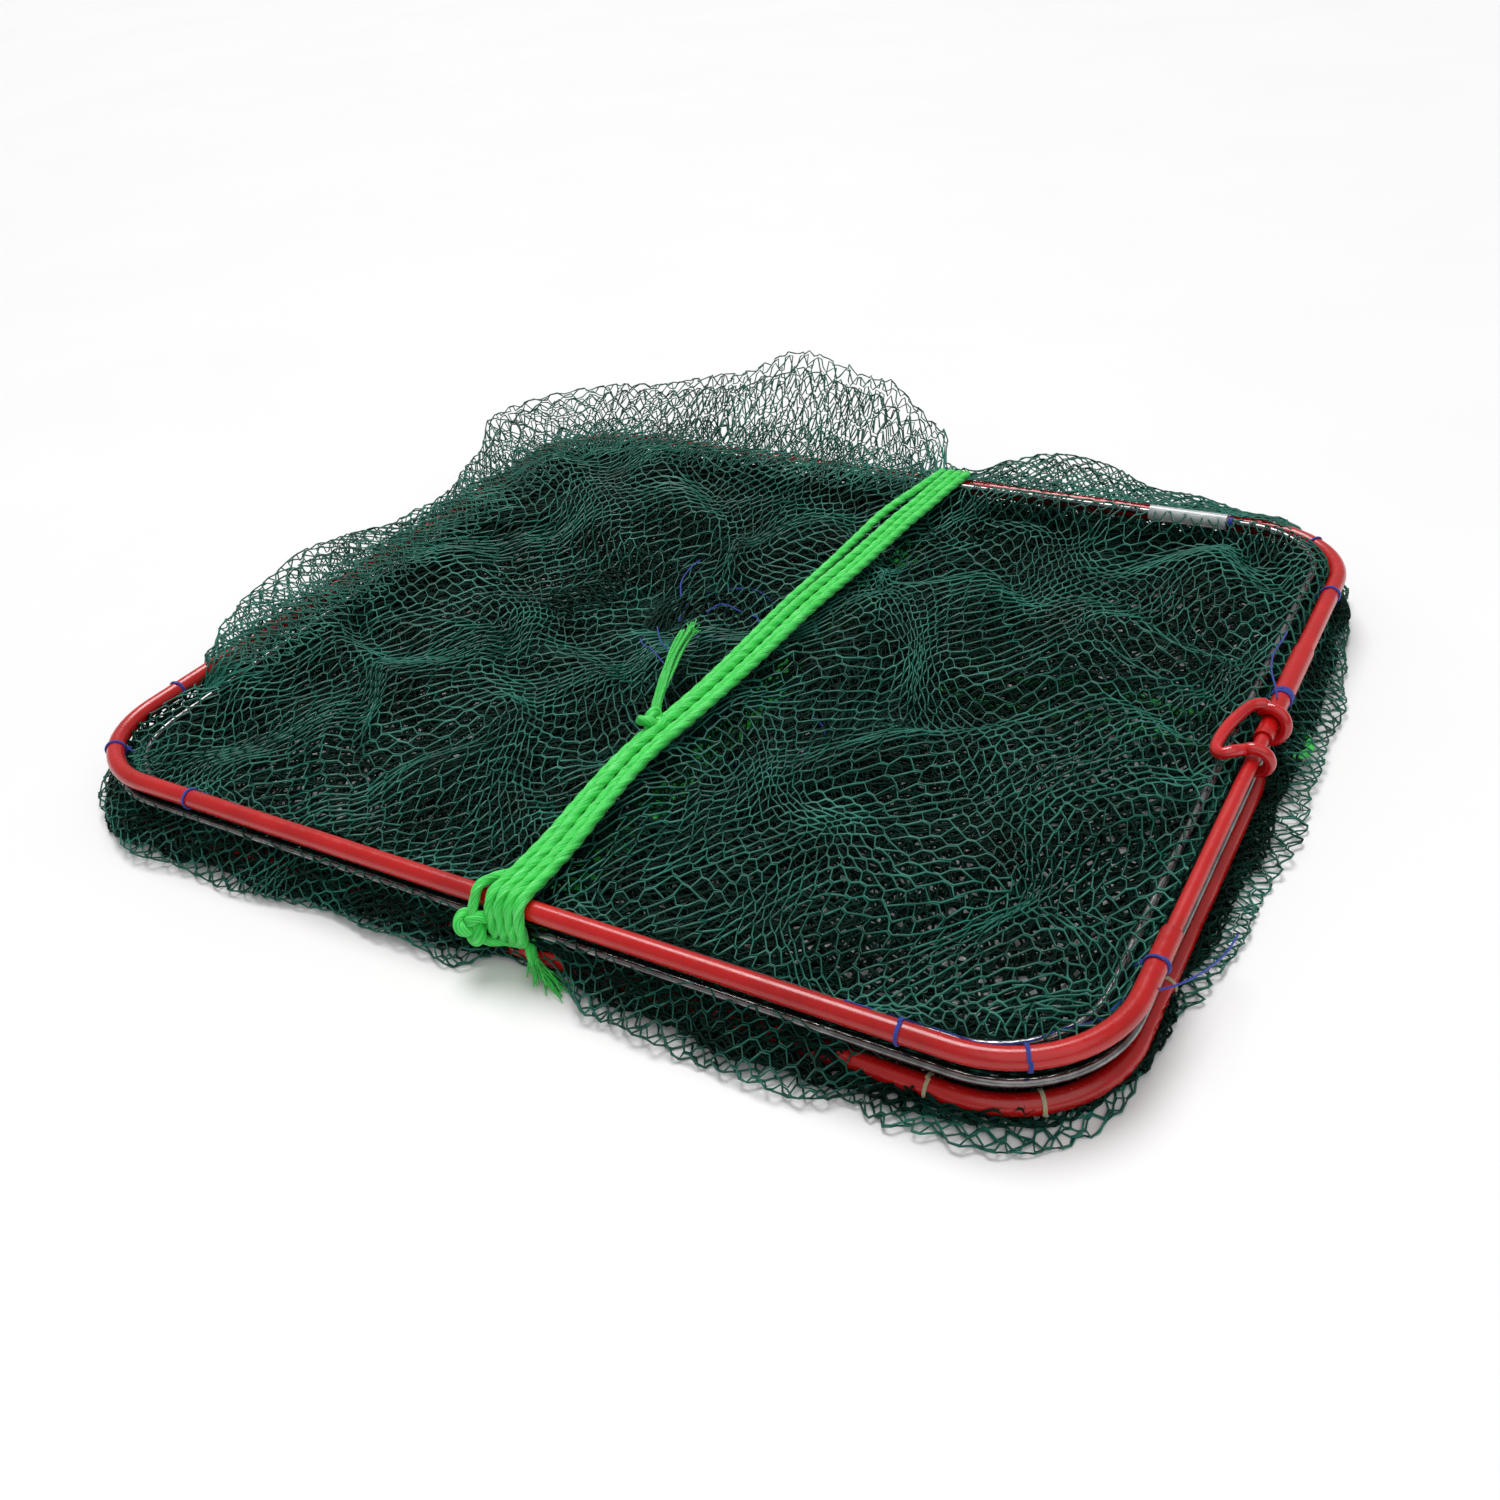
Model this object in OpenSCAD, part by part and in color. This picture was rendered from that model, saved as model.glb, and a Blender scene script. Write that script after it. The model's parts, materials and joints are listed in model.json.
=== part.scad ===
// Folding crab trap, folded flat and tied with rope.
// Four rounded rectangular rings lie one above another: a red tube frame at the
// bottom, two grey wire hoops, and a red tube frame on top. Netting joins them.
// Origin: floor under the centre of the rings. X is the long way, Z is up.

/* [Frames] */
// Width of the tube frames between tube centre lines
frame_w = 600; // [580:5:620]
// Depth of the tube frames between tube centre lines
frame_d = 504; // [490:2:520]
// Centre line radius of the frame corners
corner_r = 60; // [54:2:64]
// Outside diameter of the plastic tube on the frames
tube_d = 10; // [9.4:0.2:10]
// Diameter of the coated rod inside the tube
rod_d = 7.2; // [6.4:0.2:7.4]
// Diameter of the two wire hoops
hoop_d = 4.3; // [3.5:0.1:4.4]

/* [Bail] */
// Wire diameter of the bail
bail_d = 5.8; // [5:0.2:5.8]
// Angle of the bail below level at rest, in degrees
bail_rest = 5; // [2:1:6]

/* [Ties] */
// Diameter of the green tie rope
rope_d = 5.2; // [4.4:0.1:5.2]
// Diameter of the lashing twine
twine_d = 1.1; // [0.8:0.1:1.1]

/* [Netting] */
// How far the folded netting bulges past the frames at the sides
bulge_x = 40; // [30:1:44]
// How far the folded netting bulges past the frames at the front and back
bulge_y = 48; // [40:1:52]
// Height of the net billow along the back
billow_h = 88; // [60:1:92]

/* [Hidden] */
half_w = frame_w / 2;
half_d = frame_d / 2;
smooth = 72;
tube_r = tube_d / 2;
rod_r = rod_d / 2;
hoop_r = hoop_d / 2;
bore_r = rod_r + 0.3;

// Heights of the ring centre lines above the floor
lower_z = 6.2;
hoop_low_z = 19.2;
upper_z = 33;

// The upper hoop nests inside the upper frame and lies tilted
nest_w = 286;
nest_d = 241.5;
nest_corner = 52;
nest_z = 31.5;
nest_tilt = [1.4, -0.3, 0];

// Sleeves over the butt joints of the hoops: ends along X and outside radii
low_sleeve_x = [-200, -150];
low_sleeve_r = 4;
high_sleeve_x = [173, 223];
sleeve_lash_x = 225.5;
sleeve_fit = 0.3;

// The tube is cut back on the right rail, where the bail hangs on it
gap_from_y = -150;
gap_to_y = 12;
joint_from_y = 57;
joint_to_y = 105;
joint_r = 5.8;

twine_r = twine_d / 2;
lash_gap = 0.1;
lash_pitch = 1.25;

// Lashings of the bottom frame: places on the rails and angle round the corners
low_lash_y = 155;
low_lash_x = 230;
low_lash_angle = 54;

// Lashings of the top frame: X, Y and heading of each, then corner sides and angle
top_lash = [[-half_w, -172, 90], [-201, -half_d, 0], [218, -half_d, 0],
    [half_w, -172, 90], [half_w, 54.6, 90], [half_w, 176, 90]];
top_corner_lash = [[-1, -1, 225], [1, -1, -60], [1, 1, 50]];

// Loose twine ends of two lashings
tail_front = [[307, -175, 34], [312, -165, 33], [319, -152, 29], [325, -138, 24]];
tail_back = [[296, 57, 39.6], [290, 72, 40], [285, 90, 40], [288, 112, 40]];

// Bail: radius of its eyes and their places along the rail
bail_r = bail_d / 2;
eye_r = 8.3;
eye_back_y = 25;
eye_front_y = -9;

// Rope route: radius of the turn over the frame and height of the lower runs
rope_r = rope_d / 2;
rope_wrap_r = 8;
rope_low_z = 14.1;
front_x = [11, 16.6, 22.2, 27.8, 33.4];
back_x = [20, 26, 32, 38];

// Turns are drawn in the Y, Z plane from the top run to the lower run
turn_y = [half_d, half_d + 4, half_d + 6.9, half_d + 8, half_d + 8, half_d + 5.6, half_d + 2.4];
turn_z = [41, 39.9, 37, 33, 22, 16, rope_low_z];
turn_n = 7;
sag_z = 39;
rise_y = half_d - 10.5;
rise_z = 43;
rope_end = [[front_x[4], -half_d + 4, rope_low_z], [front_x[4] + 1, -half_d - 6, 13.6],
    [front_x[4] + 7, -half_d - 14, 9], [front_x[4] + 24, -half_d - 24, 4]];

// Knots: their places and sizes, and the rope end standing off the middle one
front_knot = [-1.5, -half_d - 13.5, 25];
front_knot_r = 8;
front_strand_x = 2.5;
middle_knot = [4, -104, 40];
middle_knot_r = 7;
middle_end = [[2, -98, 42], [-6, -78, 41], [-16, -56, 40], [-24, -36, 40], [-30, -14, 39]];

// Bight of spare rope: start, place across and radius of its turns
bight_x = 90;
bight_y = 50;
bight_r = 18;
bight_reach = 24;
bight_room = 6;

// Netting: inner outline of the bulging walls and their layers
wall_in_x = half_w + 8;
wall_in_y = half_d + 12;
wall_corner = 68;
wall_out_corner = 96;
layer_h = 5.5;
lower_layer_z = 1;
middle_layer_z = 7.5;
upper_layer_z = 14;
upper_layer_h = 5;
knot_room = [-26, 66];
billow_t = 6;
back_billow = [[-240, 16], [-220, 55], [-113, billow_h], [-20, 60], [60, 16]];
left_billow = [[-150, 16], [-60, 50], [60, 40], [180, 66], [200, 16]];
panel_t = 1.6;
panel_gap = 5.8;
bottom_panel_z = 1.4;
top_panel_z = 30;
top_panel = [278, 234, 46];

// Entrance funnel folded flat: outline, height, thickness and its mouth
funnel = [[-272, -150], [-272, 190], [-76, 80], [-76, 20]];
funnel_z = 23.5;
funnel_t = 1.5;
mouth = [-40, 50, 24.3];
mouth_r = 33;

ring_green = [0.10, 0.30, 0.24];
red = [0.78, 0.10, 0.10];
steel = [0.32, 0.32, 0.33];
rope_green = [0.20, 0.78, 0.30];
blue = [0.16, 0.28, 0.72];
cream = [0.85, 0.80, 0.58];

// Flat cross-section of a rod or tube
module section(outer, bore) {
    difference() {
        circle(r = outer, $fn = smooth);
        if (bore > 0) circle(r = bore, $fn = smooth);
    }
}

// Straight piece along +X from x0 to x1
module straight_x(x0, x1, outer, bore = 0) {
    translate([x0, 0, 0]) rotate([90, 0, 90]) linear_extrude(height = x1 - x0)
        section(outer, bore);
}

// Straight piece along +Y from y0 to y1
module straight_y(y0, y1, outer, bore = 0) {
    translate([0, y1, 0]) rotate([90, 0, 0]) linear_extrude(height = y1 - y0)
        section(outer, bore);
}

// Four corner bends of a ring
module ring_corners(hx, hy, r, outer, bore = 0) {
    for (side = [[1, 1, 0], [-1, 1, 90], [-1, -1, 180], [1, -1, 270]])
        translate([side[0] * (hx - r), side[1] * (hy - r), 0]) rotate([0, 0, side[2]])
            rotate_extrude(angle = 90, $fn = smooth) translate([r, 0]) section(outer, bore);
}

// Complete rounded rectangular ring
module ring(hx, hy, r, outer, bore = 0) {
    ring_corners(hx, hy, r, outer, bore);
    for (s = [-1, 1]) {
        translate([0, s * hy, 0]) straight_x(r - hx, hx - r, outer, bore);
        translate([s * hx, 0, 0]) straight_y(r - hy, hy - r, outer, bore);
    }
}

// One turn of twine round a tube running along X
module twine_turn(around) {
    rotate([0, 90, 0]) rotate_extrude($fn = smooth)
        translate([around + lash_gap + twine_r, 0]) circle(r = twine_r, $fn = 24);
}

// Lashing of two turns, its tube running at the given heading
module lashing(x, y, heading, around = tube_r) {
    translate([x, y, 0]) rotate([0, 0, heading])
        for (s = [-0.5, 0.5]) translate([s * lash_pitch, 0, 0]) twine_turn(around);
}

// Lashing on a corner bend at the given angle round the corner
module corner_lashing(sx, sy, angle) {
    lashing(sx * (half_w - corner_r) + corner_r * cos(angle),
        sy * (half_d - corner_r) + corner_r * sin(angle), angle + 90);
}

// Rounded rectangle outline
module outline(hx, hy, r) {
    hull() for (sx = [-1, 1], sy = [-1, 1])
        translate([sx * (hx - r), sy * (hy - r)]) circle(r = r, $fn = 32);
}

// Flat panel of net
module panel(hx, hy, r, z, h) {
    translate([0, 0, z]) linear_extrude(height = h) outline(hx, hy, r);
}

// Round cord through a list of points, each ring at right angles to its neighbours' line
module cord(points, radius, sides) {
    n = len(points);
    rings = [for (i = [0:n - 1])
        let (ahead = points[min(i + 1, n - 1)] - points[max(i - 1, 0)],
            along = ahead / norm(ahead),
            side = cord_side(along),
            up = cross(side, along))
        for (k = [0:sides - 1])
            points[i] + radius * (cos(360 * k / sides) * side + sin(360 * k / sides) * up)];
    walls = [for (i = [0:n - 2], k = [0:sides - 1])
        let (k2 = (k + 1) % sides)
        [i * sides + k, i * sides + k2, (i + 1) * sides + k2, (i + 1) * sides + k]];
    first = [for (k = [sides - 1:-1:0]) k];
    last = [for (k = [0:sides - 1]) (n - 1) * sides + k];
    polyhedron(points = rings, faces = concat([first], walls, [last]), convexity = 10);
}

// Sideways unit vector of a cord ring, kept near the X axis where the cord runs in Y and Z
function cord_side(along) =
    let (base = abs(along[0]) > 0.9 ? [0, 1, 0] : [1, 0, 0],
        flat = base - (base * along) * along)
    flat / norm(flat);

// Bottom frame
module lower_rod() {
    color(steel) translate([0, 0, lower_z]) ring(half_w, half_d, corner_r, rod_r);
}

module lower_tube() {
    color(red) translate([0, 0, lower_z]) ring(half_w, half_d, corner_r, tube_r, bore_r);
}

// Cream lashings beside every corner of the bottom frame; the trap rests on them
module lower_lashings() {
    color(cream) translate([0, 0, lower_z]) for (sx = [-1, 1], sy = [-1, 1]) {
        lashing(sx * half_w, sy * low_lash_y, 90);
        lashing(sx * low_lash_x, sy * half_d, 0);
        corner_lashing(sx, sy, sx > 0 ? sy * low_lash_angle : 180 - sy * low_lash_angle);
    }
}

module bottom_net() {
    color(ring_green) panel(half_w - panel_gap, half_d - panel_gap, corner_r - panel_gap,
        bottom_panel_z, panel_t);
}

// Folded wall layer lying outside the rings, cut away in front for the rope and its knots
module wall_layer(z, h) {
    difference() {
        panel(half_w + bulge_x, half_d + bulge_y, wall_out_corner, z, h);
        panel(wall_in_x, wall_in_y, wall_corner, z - 1, h + 2);
        translate([knot_room[0], -half_d - bulge_y - 1, z - 1])
            cube([knot_room[1] - knot_room[0], bulge_y + 1, h + 2]);
    }
}

// Recess in the wall layers for the bight of the spare rope
module bight_recess() {
    translate([half_w, bight_y - bight_r - bight_room, middle_layer_z - 0.5])
        cube([bight_reach, 2 * (bight_r + bight_room), upper_layer_z + upper_layer_h
            - middle_layer_z + 1.5]);
}

module net_wall_lower() {
    color(ring_green) wall_layer(lower_layer_z, layer_h);
}

module net_wall_middle() {
    color(ring_green) difference() {
        wall_layer(middle_layer_z, layer_h);
        bight_recess();
    }
}

// Upper wall with the billows that stand up along the back and the left
module net_wall_upper() {
    color(ring_green) difference() {
        union() {
            wall_layer(upper_layer_z, upper_layer_h);
            translate([0, half_d + bulge_y - billow_t - 2, 0]) rotate([90, 0, 0])
                linear_extrude(height = billow_t) polygon(back_billow);
            translate([-half_w - bulge_x + 2, 0, 0]) rotate([90, 0, 90])
                linear_extrude(height = billow_t) polygon(left_billow);
        }
        bight_recess();
    }
}

// Bight of spare rope lying in the fold and showing past the right rail
module spare_rope() {
    color(rope_green) translate([0, bight_y, rope_low_z]) {
        for (s = [-bight_r, bight_r]) translate([0, s, 0]) straight_x(bight_x, half_w, rope_r);
        for (end = [[half_w, -90], [bight_x, 90]])
            translate([end[0], 0, 0]) rotate([0, 0, end[1]])
                rotate_extrude(angle = 180, $fn = smooth) translate([bight_r, 0])
                    section(rope_r, 0);
    }
}

// Lower hoop and the sleeve over its butt joint
module hoop_low() {
    color(steel) translate([0, 0, hoop_low_z]) ring(half_w, half_d, corner_r, hoop_r);
}

module hoop_low_sleeve() {
    color([0.85, 0.88, 0.9]) translate([0, half_d, hoop_low_z])
        straight_x(low_sleeve_x[0], low_sleeve_x[1], low_sleeve_r, hoop_r + sleeve_fit);
}

// Upper hoop, its sleeve and the twine at the end of the sleeve
module nested() {
    translate([0, 0, nest_z]) rotate(nest_tilt) children();
}

module hoop_high() {
    color(steel) nested() ring(nest_w, nest_d, nest_corner, hoop_r);
}

module clear_sleeve() {
    color([0.85, 0.88, 0.9]) nested() translate([0, nest_d, 0])
        straight_x(high_sleeve_x[0], high_sleeve_x[1], tube_r, hoop_r + sleeve_fit);
}

module sleeve_lashing() {
    color(blue) nested() lashing(sleeve_lash_x, nest_d, 0, hoop_r);
}

// Entrance funnels, folded flat, each with the cord of its mouth
module funnel_panel() {
    translate([0, 0, funnel_z]) linear_extrude(height = funnel_t) polygon(funnel);
}

module funnel_left() {
    color(ring_green) funnel_panel();
}

module funnel_right() {
    color(ring_green) rotate([0, 0, 180]) funnel_panel();
}

module mouth_cord() {
    translate(mouth) rotate_extrude($fn = smooth)
        translate([mouth_r, 0]) circle(r = twine_r, $fn = 24);
}

module funnel_left_mouth() {
    color(blue) mouth_cord();
}

module funnel_right_mouth() {
    color(blue) rotate([0, 0, 180]) mouth_cord();
}

// Top frame: bent rod, tube cut open on the right rail, and the sleeve joining the tube
module upper_rod() {
    color(red) translate([0, 0, upper_z]) ring(half_w, half_d, corner_r, rod_r);
}

module upper_tube() {
    color(red) translate([0, 0, upper_z]) {
        ring_corners(half_w, half_d, corner_r, tube_r, bore_r);
        for (s = [-1, 1]) translate([0, s * half_d, 0])
            straight_x(corner_r - half_w, half_w - corner_r, tube_r, bore_r);
        translate([-half_w, 0, 0])
            straight_y(corner_r - half_d, half_d - corner_r, tube_r, bore_r);
        translate([half_w, 0, 0]) {
            straight_y(corner_r - half_d, gap_from_y, tube_r, bore_r);
            straight_y(gap_to_y, half_d - corner_r, tube_r, bore_r);
        }
    }
}

module tube_joint() {
    color(red) translate([half_w, 0, upper_z])
        straight_y(joint_from_y, joint_to_y, joint_r, tube_r + 0.2);
}

// Blue lashings that hold the net to the top frame
module upper_lashings() {
    color(blue) translate([0, 0, upper_z]) {
        for (place = top_lash) lashing(place[0], place[1], place[2]);
        for (place = top_corner_lash) corner_lashing(place[0], place[1], place[2]);
    }
}

// Loose twine ends left standing off two of the lashings
module lashing_tails() {
    color(blue) {
        cord(tail_front, twine_r, 8);
        cord(tail_back, twine_r, 8);
    }
}

module top_net() {
    color(ring_green) panel(top_panel[0], top_panel[1], top_panel[2], top_panel_z, panel_t);
}

// Tie rope: four runs over the top, joined under the upper rings by lower runs
function turn_points(x, side, down) = [for (i = [0:turn_n - 1])
    let (k = down ? i : turn_n - 1 - i) [x, side * turn_y[k], turn_z[k]]];

function top_run(i) = [[(front_x[i] + back_x[i]) / 2, 0, sag_z], [back_x[i], rise_y, rise_z]];

module tie_rope() {
    route = concat(
        [for (i = [0:3]) each concat(turn_points(front_x[i], -1, false), top_run(i),
            turn_points(back_x[i], 1, true))], rope_end);
    color(rope_green) cord(route, rope_r, 10);
}

// Knot hanging in front of the wrap with its strand over the tube
module tie_knot_front() {
    color(rope_green) {
        translate([front_strand_x, -half_d, upper_z]) rotate([90, 0, 90])
            rotate([0, 0, 80]) rotate_extrude(angle = 100, $fn = smooth)
                translate([rope_wrap_r, 0]) circle(r = rope_r, $fn = smooth);
        translate(front_knot) rotate([0, 0, 30]) rotate_extrude($fn = smooth)
            intersection() {
                scale([0.9, 1.2]) circle(r = front_knot_r, $fn = smooth);
                translate([0, -20]) square([20, 40]);
            }
    }
}

// Knot beside the bundle at mid span, with the rope end that stands off it
module tie_knot_middle() {
    color(rope_green) {
        translate(middle_knot) sphere(r = middle_knot_r, $fn = smooth);
        cord(middle_end, rope_r, 10);
    }
}

// Bail bent from one wire: two eyes round the rail and a round loop between them
module eye(y) {
    translate([0, y, 0]) rotate([90, 0, 0]) rotate([0, 0, 180])
        rotate_extrude(angle = 270, $fn = smooth)
            translate([eye_r, 0]) circle(r = bail_r, $fn = smooth);
}

module bail() {
    loop_r = (eye_back_y - eye_front_y) / 2;
    color([0.75, 0.08, 0.10]) translate([half_w, 0, upper_z]) rotate([0, -bail_rest, 0]) {
        eye(eye_back_y);
        eye(eye_front_y);
        translate([0, eye_back_y - loop_r, eye_r]) rotate([0, 0, 90])
            rotate_extrude(angle = 180, $fn = smooth)
                translate([loop_r, 0]) circle(r = bail_r, $fn = smooth);
    }
}

lower_rod();
lower_tube();
lower_lashings();
bottom_net();
net_wall_lower();
spare_rope();
hoop_low();
hoop_low_sleeve();
net_wall_middle();
hoop_high();
clear_sleeve();
sleeve_lashing();
net_wall_upper();
funnel_left();
funnel_right();
funnel_left_mouth();
funnel_right_mouth();
upper_rod();
upper_tube();
tube_joint();
upper_lashings();
lashing_tails();
top_net();
tie_rope();
tie_knot_front();
tie_knot_middle();
bail();
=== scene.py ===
import math

import bpy
import numpy as np
from mathutils import Matrix, Vector
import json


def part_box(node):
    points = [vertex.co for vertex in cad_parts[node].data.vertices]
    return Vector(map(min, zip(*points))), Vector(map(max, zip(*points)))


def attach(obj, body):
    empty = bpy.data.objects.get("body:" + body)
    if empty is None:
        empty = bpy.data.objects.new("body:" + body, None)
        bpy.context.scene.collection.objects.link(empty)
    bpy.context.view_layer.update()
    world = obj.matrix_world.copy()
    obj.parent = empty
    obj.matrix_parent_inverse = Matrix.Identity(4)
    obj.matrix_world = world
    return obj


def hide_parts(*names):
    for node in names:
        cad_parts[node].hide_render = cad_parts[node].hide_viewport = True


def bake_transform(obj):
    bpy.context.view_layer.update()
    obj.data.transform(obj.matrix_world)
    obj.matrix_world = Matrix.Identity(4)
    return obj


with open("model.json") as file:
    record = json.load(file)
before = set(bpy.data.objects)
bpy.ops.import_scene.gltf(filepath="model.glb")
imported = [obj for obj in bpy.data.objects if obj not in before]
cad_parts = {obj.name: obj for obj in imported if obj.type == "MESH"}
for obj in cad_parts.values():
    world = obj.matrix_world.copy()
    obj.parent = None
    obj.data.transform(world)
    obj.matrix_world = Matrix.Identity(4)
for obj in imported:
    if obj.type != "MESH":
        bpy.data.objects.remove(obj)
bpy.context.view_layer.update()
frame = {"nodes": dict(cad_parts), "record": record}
nodes = frame["nodes"]
MM = 0.001


def box_middle(node):
    """Middle of a CAD node's box, in mm."""
    return [(a + b) / 2 / MM for a, b in zip(*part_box(node))]


# Sizes in mm: the frames' from the CAD boxes, the rest as in the CAD source
TUBE_R, HOOP_R, ROPE_R, TWINE_R = 5.0, 2.15, 2.6, 0.55
HALF_W, HALF_D = (round(v / MM - TUBE_R, 2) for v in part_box("upper_tube")[1][:2])
LOWER_Z, UPPER_Z = (round(box_middle(node)[2], 2) for node in ("lower_tube", "upper_tube"))
CORNER, NEST_Z = 60.0, 31.5
NEST_TILT_X, NEST_TILT_Y = math.radians(1.4), math.radians(-0.3)


def add_object(name, data):
    obj = bpy.data.objects.new(name, data)
    bpy.context.scene.collection.objects.link(obj)
    return obj


# ---- camera
# Solved from the four corners of the top frame, which the solve took as 460 wide
LENS, ELEVATION, YAW, ROLL = 34.52, 33.92, 32.91, -6.08
SOLVED_WIDTH, AIM_X, AIM_Y, DISTANCE = 460.0, 45.42, -73.86, 588.71


def make_camera():
    cam = bpy.data.cameras.new("Camera")
    cam.sensor_width, cam.lens, cam.clip_end = 36.0, LENS, 50.0
    obj = add_object("Camera", cam)
    el, yaw, roll = math.radians(ELEVATION), math.radians(YAW), math.radians(ROLL)
    scale = 2 * HALF_W / SOLVED_WIDTH
    away = Vector((math.sin(yaw) * math.cos(el), -math.cos(yaw) * math.cos(el), math.sin(el)))
    place = Vector((AIM_X * scale, AIM_Y * scale, UPPER_Z)) + away * DISTANCE * scale
    fwd = -away
    right = fwd.cross(Vector((0, 0, 1))).normalized()
    up = right.cross(fwd).normalized()
    r = math.cos(roll) * right + math.sin(roll) * up
    u = -math.sin(roll) * right + math.cos(roll) * up
    m = Matrix.Identity(4)
    for i in range(3):
        m[i][0], m[i][1], m[i][2], m[i][3] = r[i], u[i], -fwd[i], place[i] * MM
    obj.matrix_world = m
    bpy.context.scene.camera = obj


make_camera()


# ---- mesh helpers
def new_mesh(name, verts, faces, smooth=True, uv=None):
    """Mesh object from vertices in mm and faces of one size (an integer array)."""
    verts = np.asarray(verts, np.float64).reshape(-1, 3) * MM
    faces = np.asarray(faces, np.int32)
    count, size = faces.shape
    mesh = bpy.data.meshes.new(name)
    mesh.vertices.add(len(verts))
    mesh.vertices.foreach_set("co", verts.astype(np.float32).ravel())
    mesh.loops.add(count * size)
    mesh.loops.foreach_set("vertex_index", faces.ravel())
    mesh.polygons.add(count)
    mesh.polygons.foreach_set("loop_start", np.arange(0, count * size, size, dtype=np.int32))
    mesh.polygons.foreach_set("loop_total", np.full(count, size, np.int32))
    mesh.polygons.foreach_set("use_smooth", np.full(count, smooth, bool))
    if uv is not None:
        layer = mesh.uv_layers.new(name="along")
        layer.data.foreach_set("uv", np.asarray(uv, np.float32)[faces.ravel()].ravel())
    mesh.update(calc_edges=True)
    mesh.validate()
    return add_object(name, mesh)


def unit(v):
    return v / np.maximum(np.linalg.norm(v, axis=-1, keepdims=True), 1e-12)


def smoothstep(x, a, b):
    t = np.clip((x - a) / (b - a), 0, 1)
    return t * t * (3 - 2 * t)


def step_lengths(points, axis=0):
    return np.linalg.norm(np.diff(points, axis=axis), axis=-1)


def catmull_rom(a, b, c, d, t):
    """Points between b and c, at t from 0 to 1."""
    return 0.5 * (2 * b + (c - a) * t + (2 * a - 5 * b + 4 * c - d) * t**2
                  + (3 * b - a - 3 * c + d) * t**3)


def spline(points, step, closed=False):
    """Catmull-Rom curve through the points, resampled at an even step."""
    p = np.asarray(points, float)
    if closed:
        q = np.vstack([p[-1], p, p[0], p[1]])
    else:
        q = np.vstack([2 * p[0] - p[1], p, 2 * p[-1] - p[-2]])
    t = np.linspace(0, 1, 24, endpoint=False)[:, None]
    out = [catmull_rom(*q[i:i + 4], t) for i in range(len(q) - 3)]
    out = np.vstack(out + [p[:1] if closed else p[-1:]])
    length = np.concatenate([[0], np.cumsum(step_lengths(out))])
    count = max(3, int(round(length[-1] / step)) + 1)
    want = np.linspace(0, length[-1], count)
    res = np.column_stack([np.interp(want, length, out[:, k]) for k in range(3)])
    return res[:-1] if closed else res


def along_path(path, closed, axis=0):
    """Steps along a path or grid, centred on each point."""
    if closed:
        return np.roll(path, -1, axis) - np.roll(path, 1, axis)
    return np.gradient(path, axis=axis)


def carried_frames(path, closed=False):
    """Side and up vectors carried along a path without twisting."""
    tangent = unit(along_path(path, closed))
    side = np.zeros_like(path)
    ref = np.array([0.0, 0.0, 1.0])
    if abs(tangent[0] @ ref) > 0.9:
        ref = np.array([1.0, 0.0, 0.0])
    s = ref - (ref @ tangent[0]) * tangent[0]
    for i, t in enumerate(tangent):
        s = s - (s @ t) * t
        s = s / np.linalg.norm(s)
        side[i] = s
    if closed:
        # spread the leftover turn so the ends meet
        t0 = tangent[0]
        end = side[-1] - (side[-1] @ t0) * t0
        end = end / np.linalg.norm(end)
        angle = math.atan2(np.cross(end, side[0]) @ t0, end @ side[0])
        turn = angle * np.arange(len(path)) / len(path)
        up = np.cross(tangent, side)
        side = np.cos(turn)[:, None] * side + np.sin(turn)[:, None] * up
    return side, np.cross(tangent, side)


def ring_verts(path, radius, theta, side, up):
    """Rings of vertices round the points of a path, or of several."""
    return path[..., None, :] + radius[..., None] * (np.cos(theta)[:, None] * side[..., None, :]
                                                     + np.sin(theta)[:, None] * up[..., None, :])


def tube_quads(count, sides, closed):
    """Faces between the rings of a tube."""
    i = np.arange(count if closed else count - 1)[:, None]
    k = np.arange(sides)[None, :]
    i2, k2 = (i + 1) % count, (k + 1) % sides
    return np.stack([i * sides + k, i * sides + k2, i2 * sides + k2, i2 * sides + k], -1)


def tube(path, radius, sides=16, closed=False, lobes=0, lobe_depth=0.0, pitch=30.0, ridge=0.0):
    """Verts, quads and UVs of a tube round a path; lobes give it twisted strands."""
    path = np.asarray(path, float)
    n = len(path)
    side, up = carried_frames(path, closed)
    along = np.concatenate([[0], np.cumsum(step_lengths(path))])
    rad = np.broadcast_to(np.asarray(radius, float), (n,))
    theta = np.arange(sides) * 2 * math.pi / sides
    turns = 2 * math.pi / pitch
    if closed and lobes:
        total = along[-1] + np.linalg.norm(path[0] - path[-1])
        turns = 2 * math.pi * round(total * lobes / pitch) / lobes / total
    local = theta[None, :] - turns * along[:, None]
    shape = 1.0
    if lobes:
        shape = 1.0 + lobe_depth * (np.abs(np.cos(local * lobes / 2)) - 0.6)
        shape = shape + ridge * np.cos(local * lobes * 4 + 0.9 * np.sin(along[:, None] / 7.0))
    r = rad[:, None] * shape * np.ones((n, sides))
    verts = ring_verts(path, r, theta, side, up)
    u = np.repeat(along[:, None], sides, 1) * MM * 10
    v = (local if lobes else theta[None, :] + 0 * along[:, None]) / (2 * math.pi)
    uv = np.stack([u, v], -1).reshape(-1, 2)
    return verts.reshape(-1, 3), tube_quads(n, sides, closed).reshape(-1, 4), uv


def joined(parts):
    """Several (verts, quads, uv) lists as one."""
    verts, quads, uvs, base = [], [], [], 0
    for v, q, uv in parts:
        verts.append(v)
        quads.append(q + base)
        uvs.append(uv)
        base += len(v)
    return np.vstack(verts), np.vstack(quads), np.vstack(uvs)


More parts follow.
